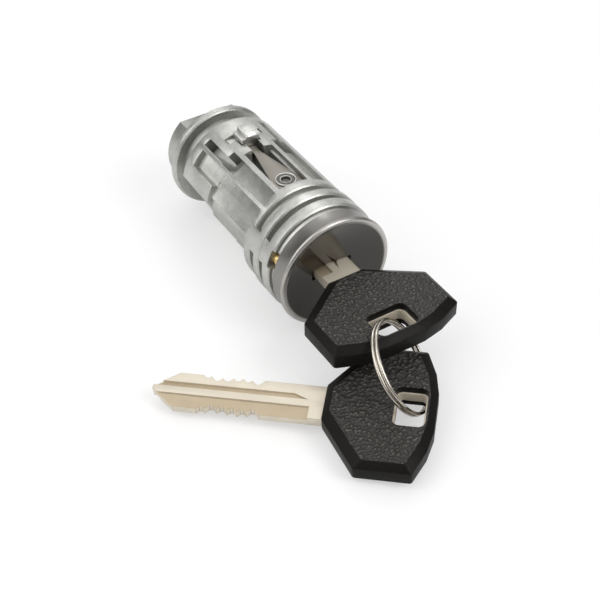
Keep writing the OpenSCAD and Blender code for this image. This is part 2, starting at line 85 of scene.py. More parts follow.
# The table, and how white it and the world are made, seen straight and mirrored in metal
TABLE_WIDTH = 16.0
TABLE_GLOW = 0.5
WORLD_GLOW = 1.0
MIRRORED_GLOW = 0.08

# Square lamps: name, place, width and the setting that gives the power
LAMPS = (
    ("soft_box_behind", (0.40, 0.62, 0.62), 1.2, "key_power"),
    ("soft_box_left", (-0.70, 0.15, 0.60), 1.0, "fill_power"),
    ("soft_box_front", (0.36, -0.60, 0.64), 0.5, "front_power"),
    ("small_lamp_behind", (0.36, 0.66, 0.70), 0.16, "spark_power"),
    ("soft_box_top", (-0.05, 0.0, 0.70), 0.6, "top_power"),
)


class LockSizes(bpy.types.PropertyGroup):
    """Sizes of the pieces that are modelled here"""

    casting_edge: bpy.props.FloatProperty(
        name="Casting edge", description="Rounding on the edges of the zinc castings",
        default=0.00018, min=0.0, unit="LENGTH")
    head_edge: bpy.props.FloatProperty(
        name="Key head edge", description="Rounding on the edges of the key heads",
        default=0.0004, min=0.0, unit="LENGTH")
    blade_edge: bpy.props.FloatProperty(
        name="Blade edge", description="Rounding on the edges of the key blades",
        default=0.00008, min=0.0, unit="LENGTH")
    rim_round: bpy.props.FloatProperty(
        name="Rim rounding", description="Radius of the face cap's front rim",
        default=0.0008, min=0.0001, unit="LENGTH")
    rim_width: bpy.props.FloatProperty(
        name="Rim width", description="Width of the rim round the cap's concave face",
        default=0.0012, min=0.0, unit="LENGTH")
    cap_wall: bpy.props.FloatProperty(
        name="Cap wall", description="Thickness of the face cap's wall",
        default=0.0009, min=0.0001, unit="LENGTH")
    cap_inside: bpy.props.FloatProperty(
        name="Cap inside", description="From the front of the rim to the inside of the cap's face",
        default=0.0029, min=0.0, unit="LENGTH")
    cap_taper: bpy.props.FloatProperty(
        name="Cap taper", description="How much the cap's radius shrinks towards its back",
        default=0.00045, min=0.0, unit="LENGTH")
    cap_chamfer: bpy.props.FloatProperty(
        name="Cap chamfer", description="Chamfer on the back edge of the cap",
        default=0.00015, min=0.0, unit="LENGTH")
    slot_size: bpy.props.FloatVectorProperty(
        name="Key slot", description="Width, depth and height of the cutter for the key slot",
        subtype="XYZ", default=(0.0102, 0.012, 0.0031), min=0.0, unit="LENGTH")
    slot_round: bpy.props.FloatProperty(
        name="Key slot rounding", description="Rounding of the key slot's corners",
        default=0.0004, min=0.0, unit="LENGTH")
    dish_depth: bpy.props.FloatProperty(
        name="Dish depth", description="Depth of the concave face at its middle",
        default=0.0023, min=0.0, unit="LENGTH")
    eyelet_lip: bpy.props.FloatProperty(
        name="Eyelet lip", description="Radius of the rolled edge of the leaf spring's eyelet",
        default=0.0002, min=0.00005, unit="LENGTH")
    leaf_margin: bpy.props.FloatProperty(
        name="Leaf margin", description="From the eyelet to where the leaf spring starts to bend",
        default=0.0004, min=0.0, unit="LENGTH")
    ring_slack: bpy.props.FloatProperty(
        name="Ring slack", description="Space left round the ring's wire, so that it clears the heads",
        default=0.00002, min=0.0, unit="LENGTH")


class LockColours(bpy.types.PropertyGroup):
    """Colours of the finishes"""

    zinc: bpy.props.FloatVectorProperty(
        name="Zinc", description="Die-cast zinc of the housing, tab and coupler",
        subtype="COLOR", default=(0.50, 0.50, 0.477), min=0.0, max=1.0)
    cap: bpy.props.FloatVectorProperty(
        name="Cap", description="Nickel plate on the face cap",
        subtype="COLOR", default=(0.25, 0.242, 0.23), min=0.0, max=1.0)
    # The dish is darker than its polish alone: painted shade for the shaded table that it mirrors
    dish: bpy.props.FloatVectorProperty(
        name="Dish", description="Dark polish of the cap's concave face, darkened further as painted shade",
        subtype="COLOR", default=(0.108, 0.105, 0.099), min=0.0, max=1.0)
    leaf: bpy.props.FloatVectorProperty(
        name="Leaf spring", description="Spring steel",
        subtype="COLOR", default=(0.26, 0.245, 0.217), min=0.0, max=1.0)
    steel: bpy.props.FloatVectorProperty(
        name="Steel", description="Rivet, pin and spring wire",
        subtype="COLOR", default=(0.56, 0.545, 0.52), min=0.0, max=1.0)
    brass: bpy.props.FloatVectorProperty(
        name="Brass", description="Plunger and wafers",
        subtype="COLOR", default=(0.72, 0.54, 0.24), min=0.0, max=1.0)
    blade: bpy.props.FloatVectorProperty(
        name="Blade", description="Nickel silver of the key blades",
        subtype="COLOR", default=(0.70, 0.635, 0.525), min=0.0, max=1.0)
    # Milled floors: darker and browner than the blade, painted shade in the groove and the step
    milled: bpy.props.FloatVectorProperty(
        name="Milled floor with painted shade", description="Floors of the groove and the step milled in the key blades",
        subtype="COLOR", default=(0.47, 0.385, 0.265), min=0.0, max=1.0)
    head: bpy.props.FloatVectorProperty(
        name="Key head", description="Moulded plastic of the key heads",
        subtype="COLOR", default=(0.009, 0.0082, 0.0074), min=0.0, max=1.0)
    ring: bpy.props.FloatVectorProperty(
        name="Ring", description="Nickel plate on the split ring",
        subtype="COLOR", default=(0.58, 0.54, 0.47), min=0.0, max=1.0)
    floor: bpy.props.FloatVectorProperty(
        name="Floor", description="Table that the lock lies on",
        subtype="COLOR", default=(0.93, 0.93, 0.93), min=0.0, max=1.0)


class LockStage(bpy.types.PropertyGroup):
    """Camera and lamps"""

    azimuth: bpy.props.FloatProperty(
        name="Azimuth", description="Turn of the camera round the lock",
        subtype="ANGLE", default=math.radians(-31.137))
    elevation: bpy.props.FloatProperty(
        name="Elevation", description="Height of the camera over the table",
        subtype="ANGLE", default=math.radians(42.258))
    roll: bpy.props.FloatProperty(
        name="Roll", description="Turn of the camera about its own axis",
        subtype="ANGLE", default=math.radians(-0.815))
    distance: bpy.props.FloatProperty(
        name="Distance", description="From the camera to the point that it looks at",
        default=0.26113, unit="LENGTH")
    view_angle: bpy.props.FloatProperty(
        name="View angle", description="Width of the camera's view",
        subtype="ANGLE", default=2 * math.atan(300 / 1276.7))
    target: bpy.props.FloatVectorProperty(
        name="Target", description="Point that the camera looks at",
        subtype="TRANSLATION", default=(-0.017327, -0.020577, 0.010158))
    key_power: bpy.props.FloatProperty(
        name="Main lamp", description="Power of the large lamp behind the lock",
        default=3.5, min=0.0, unit="POWER")
    fill_power: bpy.props.FloatProperty(
        name="Fill lamp", description="Power of the large lamp at the left",
        default=5.2, min=0.0, unit="POWER")
    front_power: bpy.props.FloatProperty(
        name="Front lamp", description="Power of the lamp in front at the right",
        default=3.8, min=0.0, unit="POWER")
    spark_power: bpy.props.FloatProperty(
        name="Small lamp", description="Power of the small lamp behind, which picks out the grain",
        default=0.55, min=0.0, unit="POWER")
    top_power: bpy.props.FloatProperty(
        name="Top lamp", description="Power of the lamp over the lock",
        default=1.0, min=0.0, unit="POWER")


def deselect():
    """Leaves edit mode and selects nothing"""
    if bpy.context.object and bpy.context.object.mode != "OBJECT":
        bpy.ops.object.mode_set(mode="OBJECT")
    bpy.ops.object.select_all(action="DESELECT")


def only(piece):
    """Selects one piece and makes it active"""
    deselect()
    piece.select_set(True)
    bpy.context.view_layer.objects.active = piece


def apply(piece, kind, **settings):
    """Adds a modifier and applies it"""
    only(piece)
    modifier = piece.modifiers.new(kind.title(), kind)
    for key, value in settings.items():
        setattr(modifier, key, value)
    bpy.ops.object.modifier_apply(modifier=modifier.name)


def copy_of(part, name):
    """A merged copy of a CAD node, ready to be shaped"""
    piece = bpy.data.objects.new(name, frame["nodes"][part].data.copy())
    bpy.context.scene.collection.objects.link(piece)
    only(piece)
    bpy.ops.object.mode_set(mode="EDIT")
    bpy.ops.mesh.select_all(action="SELECT")
    bpy.ops.mesh.remove_doubles(threshold=MERGE_DISTANCE)
    bpy.ops.mesh.customdata_custom_splitnormals_clear()
    bpy.ops.object.mode_set(mode="OBJECT")
    return piece


def coat(piece, *materials):
    """Gives a piece its materials, the first one all over"""
    piece.data.materials.clear()
    for material in materials:
        piece.data.materials.append(material)


def coat_faces(piece, slot, chosen):
    """Gives the chosen faces the material of another slot"""
    only(piece)
    bpy.ops.object.mode_set(mode="EDIT")
    bpy.ops.mesh.select_mode(type="FACE")
    bpy.ops.mesh.select_all(action="DESELECT")
    bpy.ops.object.mode_set(mode="OBJECT")
    for face in piece.data.polygons:
        face.select = chosen(face)
    piece.active_material_index = slot
    bpy.ops.object.mode_set(mode="EDIT")
    bpy.ops.object.material_slot_assign()
    bpy.ops.mesh.select_mode(type="VERT")
    bpy.ops.object.mode_set(mode="OBJECT")


def settle(piece, part):
    """Puts a finished piece in a CAD node's place"""
    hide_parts(part)
    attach(piece, BODY_OF[part])


def rounded_copy(part, name, width, segments, material, edge_material=None):
    """A copy of a CAD node with rounded edges, which may have a material of their own"""
    piece = copy_of(part, name)
    coat(piece, material, edge_material or material)
    bpy.ops.object.mode_set(mode="EDIT")
    bpy.ops.mesh.select_all(action="SELECT")
    bpy.ops.mesh.dissolve_limited(angle_limit=FLAT_ANGLE)
    bpy.ops.object.mode_set(mode="OBJECT")
    apply(piece, "BEVEL", width=width, segments=segments, limit_method="ANGLE", angle_limit=SHARP_ANGLE,
          use_clamp_overlap=True, harden_normals=False, material=1)
    only(piece)
    bpy.ops.object.shade_smooth_by_angle(angle=SHARP_ANGLE)
    return piece


def turned(name, profile, segments):
    """A turned piece about the lock's axis: the profile is (radius, place along Y), and ends on the axis"""
    deselect()
    radius, along = profile[0]
    bpy.ops.mesh.primitive_circle_add(vertices=segments, radius=radius, location=(0, along, 0),
                                      rotation=(math.pi / 2, 0, 0))
    piece = bpy.context.object
    piece.name = name
    bpy.ops.object.transform_apply(location=True, rotation=True, scale=True)
    bpy.ops.object.mode_set(mode="EDIT")
    bpy.ops.mesh.select_all(action="SELECT")
    for next_radius, next_along in profile[1:-1]:
        bpy.ops.mesh.extrude_edges_move(TRANSFORM_OT_translate={"value": (0, next_along - along, 0)})
        scale = next_radius / radius
        bpy.ops.transform.resize(value=(scale, 1, scale), center_override=(0, next_along, 0))
        radius, along = next_radius, next_along
    bpy.ops.mesh.extrude_edges_move(TRANSFORM_OT_translate={"value": (0, profile[-1][1] - along, 0)})
    bpy.ops.mesh.merge(type="CENTER")
    bpy.ops.mesh.select_all(action="DESELECT")
    bpy.ops.mesh.select_non_manifold()
    bpy.ops.mesh.edge_face_add()
    bpy.ops.mesh.select_all(action="SELECT")
    bpy.ops.mesh.normals_make_consistent(inside=False)
    bpy.ops.object.mode_set(mode="OBJECT")
    return piece


def group(name, inputs, outputs):
    """An empty shader node group with its sockets"""
    tree = bpy.data.node_groups.new(name, "ShaderNodeTree")
    for label, kind, value in inputs:
        socket = tree.interface.new_socket(label, in_out="INPUT", socket_type=kind)
        if value is not None:
            socket.default_value = value
    for label, kind in outputs:
        tree.interface.new_socket(label, in_out="OUTPUT", socket_type=kind)
    return tree, tree.nodes.new("NodeGroupInput"), tree.nodes.new("NodeGroupOutput")


def node(tree, kind, links=(), **settings):
    """A node with its settings and its inputs: each link is (input, source socket or value)"""
    made = tree.nodes.new(kind)
    for key, value in settings.items():
        setattr(made, key, value)
    for socket, source in links:
        if isinstance(source, bpy.types.NodeSocket):
            tree.links.new(source, made.inputs[socket])
        else:
            made.inputs[socket].default_value = source
    return made


def math_node(tree, operation, first, second=0.0, clamp=False):
    """The result of one sum"""
    made = node(tree, "ShaderNodeMath", [(0, first), (1, second)], operation=operation, use_clamp=clamp)
    return made.outputs[0]


def band(tree, value, low, high):
    """0 below low, 1 above high, smooth between"""
    made = node(tree, "ShaderNodeMapRange", [("Value", value), ("From Min", low), ("From Max", high)],
                interpolation_type="SMOOTHSTEP")
    return made.outputs[0]


def axis_radius(tree, parts):
    """Distance from the lock's axis, of a separated vector"""
    x, z = parts.outputs[0], parts.outputs[2]
    square = math_node(tree, "ADD", math_node(tree, "MULTIPLY", x, x), math_node(tree, "MULTIPLY", z, z))
    return math_node(tree, "SQRT", square)


def cast_group():
    """Mottle, fine grain and bump of a die casting"""
    tree, given, out = group(
        "Cast grain",
        [("Vector", "NodeSocketVector", None), ("Mottle Scale", "NodeSocketFloat", 260.0),
         ("Grain Scale", "NodeSocketFloat", 2600.0)],
        [("Mottle", "NodeSocketFloat"), ("Grain", "NodeSocketFloat"), ("Height", "NodeSocketFloat")])
    mottle = node(tree, "ShaderNodeTexNoise", [("Vector", given.outputs[0]), ("Scale", given.outputs[1]),
                                               ("Detail", 4.0), ("Roughness", 0.6)])
    grain = node(tree, "ShaderNodeTexNoise", [("Vector", given.outputs[0]), ("Scale", given.outputs[2]),
                                              ("Detail", 2.0), ("Roughness", 0.55)])
    ripple = node(tree, "ShaderNodeTexNoise", [("Vector", given.outputs[0]), ("Scale", 700.0),
                                               ("Detail", 3.0)])
    pits = node(tree, "ShaderNodeTexVoronoi", [("Vector", given.outputs[0]), ("Scale", 1500.0)])
    pit = band(tree, pits.outputs["Distance"], 0.05, 0.22)
    tree.links.new(mottle.outputs[0], out.inputs[0])
    tree.links.new(grain.outputs[0], out.inputs[1])
    height = math_node(tree, "ADD", math_node(tree, "MULTIPLY", grain.outputs[0], 0.4),
                       math_node(tree, "MULTIPLY", pit, 0.25))
    height = math_node(tree, "ADD", height, ripple.outputs[0])
    tree.links.new(height, out.inputs[2])
    return tree


def recess_shade_group():
    """Mask of painted shade: 1 in the recesses near the lock's axis, 0 on the outside"""
    tree, given, out = group(
        "Recess",
        [("Vector", "NodeSocketVector", None), ("Deep", "NodeSocketFloat", 0.0085),
         ("Outside", "NodeSocketFloat", 0.0118)],
        [("Mask", "NodeSocketFloat")])
    parts = node(tree, "ShaderNodeSeparateXYZ", [(0, given.outputs[0])])
    mask = node(tree, "ShaderNodeMapRange", [("Value", axis_radius(tree, parts)),
                                             ("From Min", given.outputs[1]), ("From Max", given.outputs[2]),
                                             ("To Min", 1.0), ("To Max", 0.0)])
    tree.links.new(mask.outputs[0], out.inputs[0])
    return tree


def brush_group():
    """Fine drawn lines along X of the vector, and a broad tarnish"""
    tree, given, out = group(
        "Brushed lines",
        [("Vector", "NodeSocketVector", None), ("Scale", "NodeSocketFloat", 3000.0)],
        [("Lines", "NodeSocketFloat"), ("Tarnish", "NodeSocketFloat")])
    drawn = node(tree, "ShaderNodeMapping", [("Vector", given.outputs[0]), ("Scale", (0.03, 1.0, 1.0))])
    lines = node(tree, "ShaderNodeTexNoise", [("Vector", drawn.outputs[0]), ("Scale", given.outputs[1]),
                                              ("Detail", 3.0), ("Roughness", 0.6)])
    tarnish = node(tree, "ShaderNodeTexNoise", [("Vector", given.outputs[0]), ("Scale", 220.0),
                                                ("Detail", 3.0)])
    tree.links.new(lines.outputs[0], out.inputs[0])
    tree.links.new(tarnish.outputs[0], out.inputs[1])
    return tree


def leather_group():
    """Pebbled leather grain, a little longer across than along"""
    tree, given, out = group(
        "Leather grain",
        [("Vector", "NodeSocketVector", None), ("Scale", "NodeSocketFloat", 1150.0)],
        [("Height", "NodeSocketFloat"), ("Crown", "NodeSocketFloat")])
    across = node(tree, "ShaderNodeMapping", [("Vector", given.outputs[0]),
                                              ("Rotation", (0, 0, math.radians(31))),
                                              ("Scale", (0.75, 1.0, 1.0))])
    warp = node(tree, "ShaderNodeTexNoise", [("Vector", given.outputs[0]), ("Scale", 700.0),
                                             ("Detail", 2.0)])
    bent = node(tree, "ShaderNodeMix", [("Factor", 0.0008), (4, across.outputs[0]), (5, warp.outputs[1])],
                data_type="VECTOR")
    cells = node(tree, "ShaderNodeTexVoronoi", voronoi_dimensions="2D", feature="SMOOTH_F1",
                 links=[("Vector", bent.outputs[1]), ("Scale", given.outputs[1]), ("Smoothness", 0.25)])
    fine = node(tree, "ShaderNodeTexNoise", [("Vector", across.outputs[0]), ("Scale", 3600.0),
                                             ("Detail", 2.0)])
    pebble = band(tree, cells.outputs["Distance"], 0.62, 0.08)
    height = math_node(tree, "ADD", math_node(tree, "MULTIPLY", fine.outputs[0], 0.25), pebble)
    # Crown: the pebbles' tops, which the grained plastic paints lighter as painted glints and makes smoother
    crown = math_node(tree, "MULTIPLY", band(tree, cells.outputs["Distance"], 0.5, 0.12),
                      band(tree, fine.outputs[0], 0.35, 0.6))
    tree.links.new(height, out.inputs[0])
    tree.links.new(crown, out.inputs[1])
    return tree


def grouped(tree, name, build, links):
    """A node of a shared group, which is built at its first use"""
    return node(tree, "ShaderNodeGroup", links, node_tree=bpy.data.node_groups.get(name) or build())


def blank(name):
    """A material with a Principled BSDF, and its object coordinates"""
    material = bpy.data.materials.new(name)
    material.use_nodes = True
    tree = material.node_tree
    surface = tree.nodes["Principled BSDF"]
    place = tree.nodes.new("ShaderNodeTexCoord")
    return material, tree, surface, place


def ramp(tree, value, low, high):
    """A colour between low and high, each of them a colour or a socket"""
    low, high = (end if isinstance(end, bpy.types.NodeSocket) else (*end, 1.0) for end in (low, high))
    made = node(tree, "ShaderNodeMix", [("Factor", value), (6, low), (7, high)], data_type="RGBA")
    return made.outputs[2]


def shade(colour, amount):
    """A colour made darker or lighter"""
    return tuple(min(1.0, c * amount) for c in colour)


def span(tree, value, low, high):
    """A value between low and high"""
    made = node(tree, "ShaderNodeMapRange", [("Value", value), ("To Min", low), ("To Max", high)])
    return made.outputs[0]


def bump(tree, surface, height, strength, distance):
    """Gives a surface a height"""
    made = node(tree, "ShaderNodeBump", [("Strength", strength), ("Distance", distance), ("Height", height)])
    tree.links.new(made.outputs[0], surface.inputs["Normal"])


def zinc_finish(name, colour, rough):
    """Die-cast zinc, mottled, with painted shade in the recesses near the lock's axis"""
    material, tree, surface, place = blank(name)
    grain = grouped(tree, "Cast grain", cast_group, [(0, place.outputs["Object"])])
    recess_shade = grouped(tree, "Recess", recess_shade_group, [(0, place.outputs["Object"])])
    mix = math_node(tree, "ADD", math_node(tree, "MULTIPLY", grain.outputs["Mottle"], 0.55),
                    math_node(tree, "MULTIPLY", grain.outputs["Grain"], 0.45))
    mottled = ramp(tree, band(tree, mix, 0.3, 0.7), shade(colour, 0.82), shade(colour, 1.17))
    # Painted shade: near the axis the colour goes most of the way to a third of the zinc's
    painted_recess_shade = math_node(tree, "MULTIPLY", recess_shade.outputs[0], 0.8, True)
    tree.links.new(ramp(tree, painted_recess_shade, mottled, shade(colour, 0.3)), surface.inputs["Base Color"])
    roughness = span(tree, grain.outputs["Grain"], rough - 0.12, rough + 0.14)
    tree.links.new(roughness, surface.inputs["Roughness"])
    surface.inputs["Metallic"].default_value = 1.0
    bump(tree, surface, grain.outputs["Height"], 0.6, 0.00010)
    return material


def brushed_finish(name, colour, rough, turn=0.0, lines=0.25, metal=1.0, scale=3000.0):
    """Drawn or plated metal with fine lines, turned about Z to run along the piece"""
    material, tree, surface, place = blank(name)
    along = node(tree, "ShaderNodeMapping", [("Vector", place.outputs["Object"]),
                                             ("Rotation", (0, 0, turn))])
    brushed = grouped(tree, "Brushed lines", brush_group, [(0, along.outputs[0]), (1, scale)])
    tint = ramp(tree, brushed.outputs["Tarnish"], shade(colour, 0.9), shade(colour, 1.1))
    tree.links.new(tint, surface.inputs["Base Color"])
    roughness = span(tree, brushed.outputs["Lines"], rough - 0.08, rough + 0.12)
    tree.links.new(roughness, surface.inputs["Roughness"])
    surface.inputs["Metallic"].default_value = metal
    bump(tree, surface, brushed.outputs["Lines"], lines, 0.00002)
    return material


def cap_finish(colour, dish_polish_and_shade, dish_radius, front):
    """Satin on the rim and the wall, polished in the dish, with a painted highlight along the front of the
    rim
    """
    material, tree, surface, place = blank("Plated cap")
    brushed = grouped(tree, "Brushed lines", brush_group, [(0, place.outputs["Object"]), (1, 1800.0)])
    parts = node(tree, "ShaderNodeSeparateXYZ", [(0, place.outputs["Object"])])
    outside = band(tree, axis_radius(tree, parts), dish_radius - 0.0003, dish_radius + 0.0002)
    polished = span(tree, brushed.outputs["Tarnish"], 0.10, 0.17)
    satin = span(tree, brushed.outputs["Lines"], 0.26, 0.42)
    rough = node(tree, "ShaderNodeMix", [("Factor", outside), (2, polished), (3, satin)])
    tree.links.new(rough.outputs[0], surface.inputs["Roughness"])
    tint = ramp(tree, brushed.outputs["Tarnish"], shade(colour, 0.92), shade(colour, 1.08))
    # Painted highlight: the front of the rim is made twice as light as the wall
    rim = band(tree, parts.outputs[1], front + 0.0009, front + 0.0003)
    wall_and_rim_highlight = ramp(tree, rim, tint, shade(colour, 2.0))
    # The dish takes its dark polish with painted shade, the rim and the wall the lighter plate
    tree.links.new(ramp(tree, outside, dish_polish_and_shade, wall_and_rim_highlight), surface.inputs["Base Color"])
    surface.inputs["Metallic"].default_value = 1.0
    lift = math_node(tree, "MULTIPLY", brushed.outputs["Lines"], outside)
    bump(tree, surface, lift, 0.2, 0.00002)
    return material


def grained_and_painted_light_finish(colour):
    """Leather-grained plastic of the heads' flat faces, painted lighter than the sides, with painted glints
    on the pebbles' crowns
    """
    material, tree, surface, place = blank("Grained plastic")
    grain = grouped(tree, "Leather grain", leather_group, [(0, place.outputs["Object"])])
    # Painted light: 2.8 to 11 times the plastic's colour, the most on the crowns as painted glints
    tint = ramp(tree, grain.outputs["Crown"], shade(colour, 2.8), shade(colour, 11.0))
    tree.links.new(tint, surface.inputs["Base Color"])
    tree.links.new(span(tree, grain.outputs["Crown"], 0.5, 0.24), surface.inputs["Roughness"])
    surface.inputs["Specular IOR Level"].default_value = 0.4
    bump(tree, surface, grain.outputs["Height"], 1.0, 0.0004)
    return material


def smooth_finish(colour):
    """Plain plastic of the heads' bevels and sides"""
    material, tree, surface, place = blank("Smooth plastic")
    grain = grouped(tree, "Cast grain", cast_group, [(0, place.outputs["Object"])])
    tree.links.new(ramp(tree, grain.outputs["Grain"], shade(colour, 0.6), shade(colour, 1.6)),
                   surface.inputs["Base Color"])
    tree.links.new(span(tree, grain.outputs["Mottle"], 0.28, 0.46), surface.inputs["Roughness"])
    surface.inputs["Specular IOR Level"].default_value = 0.08
    bump(tree, surface, grain.outputs["Height"], 0.25, 0.0001)
    return material


class LOCK_OT_castings(bpy.types.Operator):
    """Round the edges of the zinc castings: housing, retaining tab and drive coupler"""

    bl_idname = "lock.castings"
    bl_label = "Castings"

    def execute(self, context):
        sizes, colours = context.scene.lock_sizes, context.scene.lock_colours
        zinc = zinc_finish("Die-cast zinc", colours.zinc, 0.40)
        # The castings' rounded edges: zinc 1.4 times lighter and smoother, partly wear and partly a painted
        # highlight
        worn_and_highlit = zinc_finish("Worn zinc edge", shade(colours.zinc, 1.4), 0.26)
        for part, piece in (("housing", "housing_casting"), ("drive_coupler", "coupler_casting"),
                            ("retaining_tab", "tab_casting")):
            settle(rounded_copy(part, piece, sizes.casting_edge, 2, zinc, worn_and_highlit), part)
        return {"FINISHED"}


class LOCK_OT_face_cap(bpy.types.Operator):
    """Turn the face cap with its rounded rim and concave face, and cut the key slot"""

    bl_idname = "lock.face_cap"
    bl_label = "Face cap"

    def outline(self, sizes, front, dish):
        """The cap's section from its inside round the wall and the rim to the middle of the dish"""
        back, radius = CAP_HIGH.y, CAP_HIGH.x
        rim, depth = sizes.rim_round, sizes.dish_depth
        taper, chamfer = sizes.cap_taper, sizes.cap_chamfer
        inside = radius - sizes.cap_wall
        points = [(inside, front + sizes.cap_inside), (inside, back), (radius - taper - chamfer, back),
                  (radius - taper, back - chamfer)]
        for step in range(1, WALL_STEPS):
            along = step / WALL_STEPS
            place = back - chamfer - (back - front - rim) * along
            points.append((radius - taper * (1 - along * along), place))
        for step in range(RIM_STEPS + 1):
            angle = math.pi / 2 * step / RIM_STEPS
            points.append((radius - rim * (1 - math.cos(angle)), front + rim * (1 - math.sin(angle))))
        lip = 0.0001
        points.append((dish + lip, front))
        curve = (dish * dish + depth * depth) / (2 * depth)
        for step in range(1, DISH_STEPS):
            r = dish * (1 - step / DISH_STEPS)
            points.append((r, front + depth - curve + math.sqrt(curve * curve - r * r)))
        points.append((0.0, front + depth))
        return points

    def execute(self, context):
        sizes, colours = context.scene.lock_sizes, context.scene.lock_colours
        front, dish = CAP_LOW.y, CAP_HIGH.x - sizes.rim_width
        cap = turned("cap_shell", self.outline(sizes, front, dish), CAP_SEGMENTS)
        deselect()
        bpy.ops.mesh.primitive_cube_add(size=1.0, location=(0, front, 0))
        cutter = bpy.context.object
        cutter.scale = sizes.slot_size
        bpy.ops.object.transform_apply(location=True, rotation=True, scale=True)
        apply(cutter, "BEVEL", width=sizes.slot_round, segments=3, limit_method="ANGLE")
        apply(cap, "BOOLEAN", operation="DIFFERENCE", object=cutter, solver="EXACT")
        bpy.data.objects.remove(cutter)
        only(cap)
        bpy.ops.object.shade_smooth_by_angle(angle=math.radians(28))
        coat(cap, cap_finish(colours.cap, colours.dish, dish, front))
        settle(cap, "face_cap")
        return {"FINISHED"}


class LOCK_OT_keys(bpy.types.Operator):
    """Finish both keys: milled blades and grained heads"""

    bl_idname = "lock.keys"
    bl_label = "Keys"

    def milled_floors(self, blade):
        """Gives the second material, with its painted shade, to the floors that lie below the blade's two
        flat faces
        """
        up = max(blade.data.polygons, key=lambda face: face.area).normal.copy()
        heights = [vertex.co.dot(up) for vertex in blade.data.vertices]
        middle = (max(heights) + min(heights)) / 2
        half = max(heights) - middle

        def on_floor(face):
            return abs(face.normal.dot(up)) > 0.97 and abs(face.center.dot(up) - middle) < 0.8 * half

        coat_faces(blade, 1, on_floor)

    def execute(self, context):
        sizes, colours = context.scene.lock_sizes, context.scene.lock_colours
        grained_painted_light, smooth = grained_and_painted_light_finish(colours.head), smooth_finish(colours.head)
        for head, blade, turn in (("key_head", "key_blade", math.pi / 2),
                                  ("spare_key_head", "spare_key_blade", math.radians(42))):
            moulding = rounded_copy(head, head + "_moulding", sizes.head_edge, 3, grained_painted_light, smooth)
            # The sides and bevels take the plain plastic; the flat faces keep the grained plastic with its
            # painted light
            coat_faces(moulding, 1, lambda face: abs(face.normal.z) < 0.9)
            settle(moulding, head)
            silver = brushed_finish("Nickel silver " + blade, colours.blade, 0.48, turn, metal=0.4)
            # The milled floors take the darker colour, painted shade
            floor = brushed_finish("Milled silver " + blade, colours.milled, 0.42, turn, 0.4, metal=0.4)
            milled = rounded_copy(blade, blade + "_milled", sizes.blade_edge, 2, silver, floor)
            self.milled_floors(milled)
            settle(milled, blade)
        return {"FINISHED"}


class LOCK_OT_split_ring(bpy.types.Operator):
    """Smooth the split ring's wire"""

    bl_idname = "lock.split_ring"
    bl_label = "Split ring"

    def execute(self, context):
        sizes, colours = context.scene.lock_sizes, context.scene.lock_colours
        ring = copy_of("split_ring", "ring_wire")
        bpy.ops.object.mode_set(mode="EDIT")
        bpy.ops.mesh.select_all(action="SELECT")
        bpy.ops.mesh.tris_convert_to_quads(face_threshold=math.radians(60), shape_threshold=math.radians(60))
        bpy.ops.object.mode_set(mode="OBJECT")
        apply(ring, "SUBSURF", levels=2, render_levels=2)
        apply(ring, "DISPLACE", strength=-sizes.ring_slack, mid_level=0.0)
        only(ring)
        bpy.ops.object.shade_smooth()
        coat(ring, brushed_finish("Nickel wire", colours.ring, 0.22, 0.0, 0.02, scale=500.0))
        settle(ring, "split_ring")
        return {"FINISHED"}


